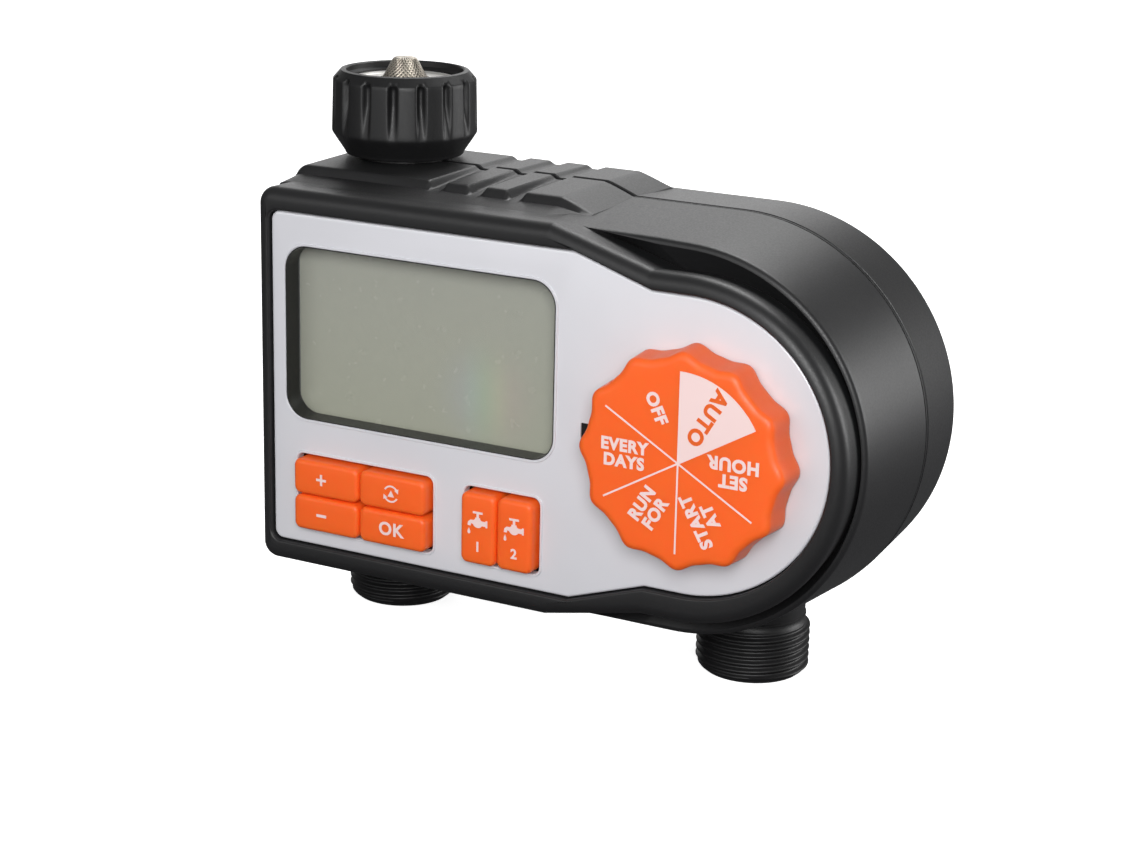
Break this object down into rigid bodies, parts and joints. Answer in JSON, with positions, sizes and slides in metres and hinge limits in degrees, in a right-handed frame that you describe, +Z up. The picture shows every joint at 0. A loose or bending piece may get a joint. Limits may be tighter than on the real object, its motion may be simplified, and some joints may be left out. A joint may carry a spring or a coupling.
{
  "type": "drip irrigation timer",
  "caption": "Battery powered tap timer for drip lines: ribbed inlet nut on top, threaded outlets below, display, push keys and a lobed programme dial on the face.",
  "frame": {"origin": "middle of the base: the timer stands on its two outlet rims", "axes": "+X along the face from the inlet end to the dial end, +Y from the face to the back, +Z up along the inlet and outlet axes"},
  "size_m": [0.153, 0.0684, 0.1341],
  "materials": {
    "case_black": "satin, finely textured moulded ABS",
    "fitting_black": "satin moulded ABS",
    "silver_face": "satin silver grey moulded plastic",
    "orange_plastic": "satin gloss moulded plastic with printed legends",
    "frame_black": "matt",
    "display_cover": "clear, polished",
    "display": "grey green, smooth",
    "rubber": "matt",
    "steel": "bright drawn",
    "steel_mesh": "woven wire",
    "zinc_screw": "bright zinc plated",
    "board": "solder resist",
    "inner_white": "satin moulded",
    "battery_wrap": "shrink film",
    "contact_metal": "bright"
  },
  "bodies": {
    "case": {"front_shell": "case_black", "rear_shell": "case_black", "case_screw_1": "zinc_screw", "case_screw_2": "zinc_screw", "case_screw_3": "zinc_screw", "case_screw_4": "zinc_screw", "case_screw_5": "zinc_screw", "case_screw_6": "zinc_screw", "face_panel": "silver_face", "display_frame": "frame_black", "rotary_switch": "frame_black", "control_chip": "frame_black", "solenoid_1": "frame_black", "solenoid_2": "frame_black", "battery_tray": "frame_black", "display_lens": "display_cover", "display_glass": "display", "display_connector": "rubber", "inlet_washer": "rubber", "outlet_seal_1": "rubber", "outlet_seal_2": "rubber", "diaphragm_1": "rubber", "diaphragm_2": "rubber", "switch_minus": "frame_black", "switch_ok": "frame_black", "switch_plus": "frame_black", "switch_cycle": "frame_black", "switch_valve_1": "frame_black", "switch_valve_2": "frame_black", "filter_rim": "steel", "plunger_spring_1": "steel", "plunger_spring_2": "steel", "filter_screen": "steel_mesh", "control_board": "board", "valve_body": "inner_white", "inlet_spout": "fitting_black", "outlet_spigot_1": "fitting_black", "outlet_spigot_2": "fitting_black", "battery_1": "battery_wrap", "battery_2": "battery_wrap", "contact_left": "contact_metal", "contact_right": "contact_metal"},
    "inlet_nut": {"inlet_nut": "fitting_black"},
    "dial": {"dial_knob": "orange_plastic", "dial_shaft": "steel"},
    "plunger_1": {"plunger_1": "steel"},
    "plunger_2": {"plunger_2": "steel"},
    "battery_door": {"battery_door": "case_black", "door_seal": "rubber"},
    "key_minus": {"key_minus": "orange_plastic"},
    "key_ok": {"key_ok": "orange_plastic"},
    "key_plus": {"key_plus": "orange_plastic"},
    "key_cycle": {"key_cycle": "orange_plastic"},
    "key_valve_1": {"key_valve_1": "orange_plastic"},
    "key_valve_2": {"key_valve_2": "orange_plastic"}
  },
  "joints": [
    {"name": "inlet_nut_turn", "type": "hinge", "parent": "case", "child": "inlet_nut", "pos_m": [-0.0592, 0.01275, 0.1207], "axis": [0, 0, 1], "continuous": true},
    {"name": "dial_turn", "type": "hinge", "parent": "case", "child": "dial", "pos_m": [0.0381, -0.02925, 0.0619], "axis": [0, 1, 0], "continuous": true},
    {"name": "key_minus_press", "type": "slide", "parent": "case", "child": "key_minus", "axis": [0, 1, 0], "range_m": [0, 0.0012], "stiffness_N_per_m": 800},
    {"name": "key_ok_press", "type": "slide", "parent": "case", "child": "key_ok", "axis": [0, 1, 0], "range_m": [0, 0.0012], "stiffness_N_per_m": 800},
    {"name": "key_plus_press", "type": "slide", "parent": "case", "child": "key_plus", "axis": [0, 1, 0], "range_m": [0, 0.0012], "stiffness_N_per_m": 800},
    {"name": "key_cycle_press", "type": "slide", "parent": "case", "child": "key_cycle", "axis": [0, 1, 0], "range_m": [0, 0.0012], "stiffness_N_per_m": 800},
    {"name": "key_valve_1_press", "type": "slide", "parent": "case", "child": "key_valve_1", "axis": [0, 1, 0], "range_m": [0, 0.0012], "stiffness_N_per_m": 800},
    {"name": "key_valve_2_press", "type": "slide", "parent": "case", "child": "key_valve_2", "axis": [0, 1, 0], "range_m": [0, 0.0012], "stiffness_N_per_m": 800},
    {"name": "plunger_1_slide", "type": "slide", "parent": "case", "child": "plunger_1", "axis": [1, 0, 0], "range_m": [0, 0.0025], "stiffness_N_per_m": 300, "deforming": ["plunger_spring_1"]},
    {"name": "plunger_2_slide", "type": "slide", "parent": "case", "child": "plunger_2", "axis": [-1, 0, 0], "range_m": [0, 0.0025], "stiffness_N_per_m": 300, "deforming": ["plunger_spring_2"]},
    {"name": "battery_door_lift", "type": "slide", "parent": "case", "child": "battery_door", "axis": [0, 1, 0], "range_m": [0, 0.03]}
  ]
}
